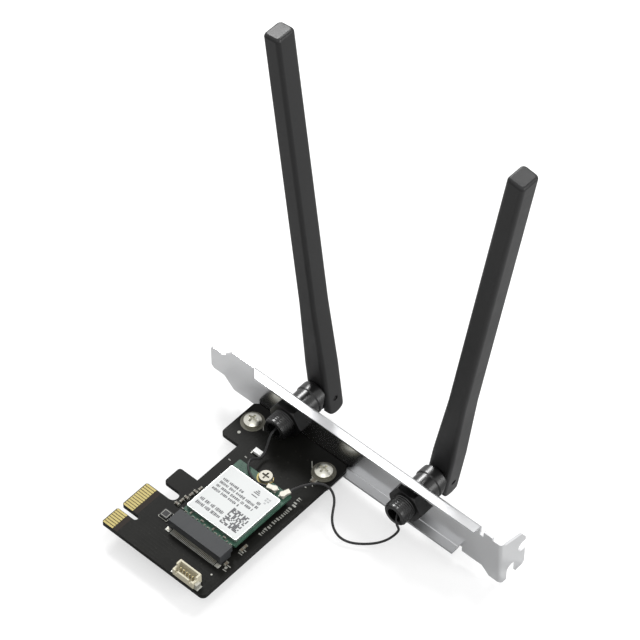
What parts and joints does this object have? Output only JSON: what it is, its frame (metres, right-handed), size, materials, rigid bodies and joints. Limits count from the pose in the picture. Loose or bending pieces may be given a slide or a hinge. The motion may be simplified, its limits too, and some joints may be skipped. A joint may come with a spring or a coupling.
{
  "type": "pcie_wifi_card",
  "caption": "PCIe Wi-Fi card: black board with a plug-in radio module, zinc-plated bracket and folding antennas with thin coax pigtails",
  "frame": {"origin": "middle of the edge connector's key, at the contact tips and halfway through the board", "axes": "X from the contact tips along the bracket to its screw tab, Y out through the bracket, Z square to the board on its component side"},
  "size_m": [0.1206, 0.0877, 0.1625],
  "materials": {
    "zinc_sheet": "zinc-plated sheet, satin",
    "solder_mask_black": "glossy black solder mask",
    "gold_plating": "thin gold plating",
    "tinned_plating": "bright tin plating",
    "screw_steel": "nickel-plated steel",
    "solder_mask_green": "dark green solder mask",
    "tinned_steel": "tin-plated steel",
    "label_paper": "printed film label",
    "chip_body": "chip parts with tinned ends",
    "chip_black": "moulded chip body",
    "led_white": "white moulded lamp body",
    "cable_black": "smooth cable jacket",
    "socket_plastic": "dark grey moulded plastic",
    "header_plastic": "cream moulded plastic",
    "header_brass": "plain brass",
    "antenna_black": "black moulded plastic, satin",
    "nut_black": "black-plated metal",
    "blade_black": "black moulded plastic, fine grain"
  },
  "bodies": {
    "card": {"bracket": "zinc_sheet", "circuit_board": "solder_mask_black", "edge_contacts": "gold_plating", "screw_pads": "tinned_plating", "left_board_screw": "screw_steel", "right_board_screw": "screw_steel", "module_board": "solder_mask_green", "module_contacts": "gold_plating", "shield_can": "tinned_steel", "module_label": "label_paper", "module_parts": "chip_body", "antenna_jacks": "tinned_plating", "left_plug": "tinned_plating", "right_plug": "tinned_plating", "left_pigtail": "cable_black", "right_pigtail": "cable_black", "socket_housing": "socket_plastic", "socket_contacts": "tinned_plating", "socket_tabs": "tinned_plating", "header_housing": "header_plastic", "header_pins": "header_brass", "header_tabs": "tinned_plating", "module_standoff": "header_brass", "module_screw": "screw_steel", "chip_parts": "chip_body", "regulator_chip": "chip_black", "indicator_led": "led_white", "left_bushing": "antenna_black", "right_bushing": "antenna_black", "left_nut": "nut_black", "right_nut": "nut_black"},
    "left_swivel": {"left_base": "antenna_black"},
    "left_antenna": {"left_hinge_pin": "nut_black", "left_blade": "blade_black"},
    "right_swivel": {"right_base": "antenna_black"},
    "right_antenna": {"right_hinge_pin": "nut_black", "right_blade": "blade_black"}
  },
  "joints": [
    {"name": "left_turn", "type": "hinge", "parent": "card", "child": "left_swivel", "pos_m": [0.0192, 0.06, 0.00756], "axis": [0, 1, 0], "range_deg": [-83.75, 13.25]},
    {"name": "left_fold", "type": "hinge", "parent": "left_swivel", "child": "left_antenna", "pos_m": [0.0195, 0.07416, 0.00483], "axis": [-0.9941, 0, -0.1089], "range_deg": [0, 90]},
    {"name": "right_turn", "type": "hinge", "parent": "card", "child": "right_swivel", "pos_m": [0.0692, 0.06, 0.00756], "axis": [0, 1, 0], "range_deg": [-15.2, 71.8]},
    {"name": "right_fold", "type": "hinge", "parent": "right_swivel", "child": "right_antenna", "pos_m": [0.06881, 0.07416, 0.00484], "axis": [-0.9898, 0, 0.1426], "range_deg": [0, 90]}
  ]
}
